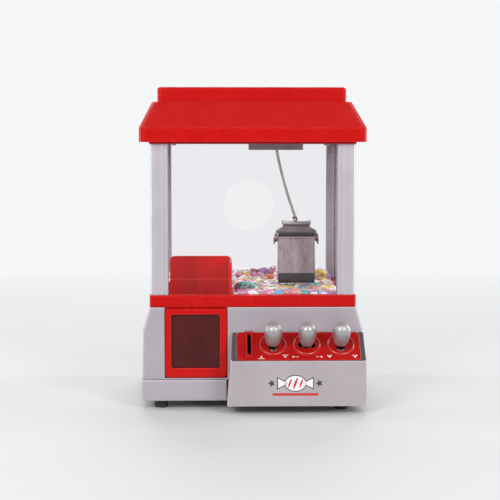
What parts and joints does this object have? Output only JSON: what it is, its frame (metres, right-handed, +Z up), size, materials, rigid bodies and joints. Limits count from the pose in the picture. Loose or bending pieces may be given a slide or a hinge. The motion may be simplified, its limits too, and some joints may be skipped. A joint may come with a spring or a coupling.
{
  "type": "claw crane machine",
  "caption": "Table-top claw crane: clear cabinet of sweets, travelling gantry with chain-hung scoop claw, prize chute with flap, sloping panel with control sticks and coin slot.",
  "frame": {"origin": "centre of the whole footprint, at the underside of the feet", "axes": "+X to the right seen from the front, -Y towards the player, +Z up"},
  "size_m": [0.26, 0.2662, 0.3718],
  "materials": {
    "silver_plastic": "satin metallic silver-grey paint on moulded plastic",
    "silver_knob": "semi-gloss silver paint",
    "red_gloss_plastic": "high gloss",
    "black_plastic": "satin",
    "grey_plastic": "satin",
    "clear_pane": "clear polished sheet",
    "smoked_flap": "smoked translucent sheet",
    "black_rubber": "matt",
    "steel": "plain",
    "brushed_claw_steel": "vertically brushed sheet",
    "chain_steel": "nickelled links",
    "circuit_board": "solder mask",
    "cell_wrap": "plain wrap",
    "motor_can": "plated",
    "white_gear_plastic": "moulded",
    "sweet_wrappers": "assorted clear and coloured wrappers"
  },
  "bodies": {
    "machine": {"base_housing": "silver_plastic", "base_plinth": "silver_plastic", "battery_box": "black_plastic", "battery_cells": "cell_wrap", "battery_contacts": "steel", "chute_guard": "red_gloss_plastic", "coin_bin": "black_plastic", "coin_block": "red_gloss_plastic", "coin_switch": "black_plastic", "coin_way": "black_plastic", "control_box": "silver_plastic", "control_panel": "red_gloss_plastic", "door_frame": "red_gloss_plastic", "feet": "black_rubber", "flap_rod": "steel", "front_pillars": "silver_plastic", "front_window": "clear_pane", "main_board": "circuit_board", "playfield_deck": "red_gloss_plastic", "power_switch": "black_plastic", "prize_chute": "black_plastic", "rear_pillars": "silver_plastic", "rear_window": "clear_pane", "rim_frame": "red_gloss_plastic", "roof_cap": "red_gloss_plastic", "roof_collar": "red_gloss_plastic", "roof_crest": "red_gloss_plastic", "screws": "steel", "side_rails": "grey_plastic", "side_windows": "clear_pane", "speaker": "black_plastic", "stick_board": "circuit_board", "stick_brackets": "black_plastic", "stick_springs": "steel", "sweets_bed": "sweet_wrappers"},
    "bridge": {"bridge_frame": "grey_plastic", "bridge_rods": "steel", "bridge_motor": "motor_can"},
    "drive_shaft": {"drive_shaft": "steel"},
    "carriage": {"carriage_housing": "grey_plastic", "carriage_motors": "motor_can", "chain": "chain_steel"},
    "cross_pinion": {"cross_pinion": "white_gear_plastic"},
    "winch": {"winch_drum": "white_gear_plastic"},
    "claw": {"claw_hook": "steel", "claw_head": "brushed_claw_steel", "claw_pins": "steel", "claw_springs": "steel"},
    "front_jaw": {"front_jaw": "brushed_claw_steel"},
    "rear_jaw": {"rear_jaw": "brushed_claw_steel"},
    "stick_1": {"stick_lever_1": "black_plastic", "stick_knob_1": "silver_knob"},
    "stick_2": {"stick_lever_2": "black_plastic", "stick_knob_2": "silver_knob"},
    "stick_3": {"stick_lever_3": "black_plastic", "stick_knob_3": "silver_knob"},
    "flap": {"prize_flap": "smoked_flap"},
    "coin_lever": {"coin_lever": "steel"},
    "power_slider": {"power_slider": "black_plastic"},
    "battery_door": {"battery_door": "silver_plastic"}
  },
  "joints": [
    {"name": "bridge_travel", "type": "slide", "parent": "machine", "child": "bridge", "axis": [0, -1, 0], "range_m": [-0.058, 0.056]},
    {"name": "drive_shaft_turn", "type": "hinge", "parent": "bridge", "child": "drive_shaft", "pos_m": [0, 0.03708, 0.32065], "axis": [1, 0, 0], "range_deg": [-560, 560]},
    {"name": "carriage_travel", "type": "slide", "parent": "bridge", "child": "carriage", "axis": [1, 0, 0], "range_m": [-0.085, 0.025]},
    {"name": "cross_pinion_turn", "type": "hinge", "parent": "carriage", "child": "cross_pinion", "pos_m": [0.05, 0.01408, 0.319], "axis": [0, -1, 0], "range_deg": [-800, 800]},
    {"name": "hoist", "type": "slide", "parent": "carriage", "child": "claw", "axis": [-0.2537, 0, 0.9673], "range_m": [0, 0.07], "deforming": ["chain"]},
    {"name": "winch_turn", "type": "hinge", "parent": "carriage", "child": "winch", "pos_m": [0.01964, 0.01408, 0.317], "axis": [0, -1, 0], "range_deg": [-30, 520]},
    {"name": "front_jaw_swing", "type": "hinge", "parent": "claw", "child": "front_jaw", "pos_m": [0.0556, 0.00758, 0.191], "axis": [-1, 0, 0], "range_deg": [0, 28]},
    {"name": "rear_jaw_swing", "type": "hinge", "parent": "claw", "child": "rear_jaw", "pos_m": [0.0556, 0.02058, 0.191], "axis": [1, 0, 0], "range_deg": [-2, 30]},
    {"name": "stick_1_tilt", "type": "hinge", "parent": "machine", "child": "stick_1", "pos_m": [0.0221, -0.09938, 0.06685], "axis": [1, 0, 0], "range_deg": [-10, 10], "stiffness_Nm_per_rad": 0.3},
    {"name": "stick_2_tilt", "type": "hinge", "parent": "machine", "child": "stick_2", "pos_m": [0.0608, -0.09938, 0.06685], "axis": [0, 0.771, 0.6369], "range_deg": [-10, 10], "stiffness_Nm_per_rad": 0.3},
    {"name": "stick_3_tilt", "type": "hinge", "parent": "machine", "child": "stick_3", "pos_m": [0.0995, -0.09938, 0.06685], "axis": [1, 0, 0], "range_deg": [-10, 10], "stiffness_Nm_per_rad": 0.3},
    {"name": "flap_swing", "type": "hinge", "parent": "machine", "child": "flap", "pos_m": [-0.0655, -0.08792, 0.1116], "axis": [1, 0, 0], "range_deg": [0, 58]},
    {"name": "coin_lever_swing", "type": "hinge", "parent": "machine", "child": "coin_lever", "pos_m": [-0.0009, -0.09359, 0.07163], "axis": [1, 0, 0], "range_deg": [0, 20], "stiffness_Nm_per_rad": 0.005},
    {"name": "power_switch_slide", "type": "slide", "parent": "machine", "child": "power_slider", "axis": [1, 0, 0], "range_m": [0, 0.0045]},
    {"name": "battery_door_slide", "type": "slide", "parent": "machine", "child": "battery_door", "axis": [0, 1, 0], "range_m": [0, 0.014]}
  ],
  "couplings": [
    {"joint": "drive_shaft_turn", "follows": "bridge_travel", "rad_per_m": 160},
    {"joint": "cross_pinion_turn", "follows": "carriage_travel", "rad_per_m": 160},
    {"joint": "winch_turn", "follows": "hoist", "rad_per_m": 120.48},
    {"joint": "rear_jaw_swing", "follows": "front_jaw_swing", "ratio": 1}
  ]
}
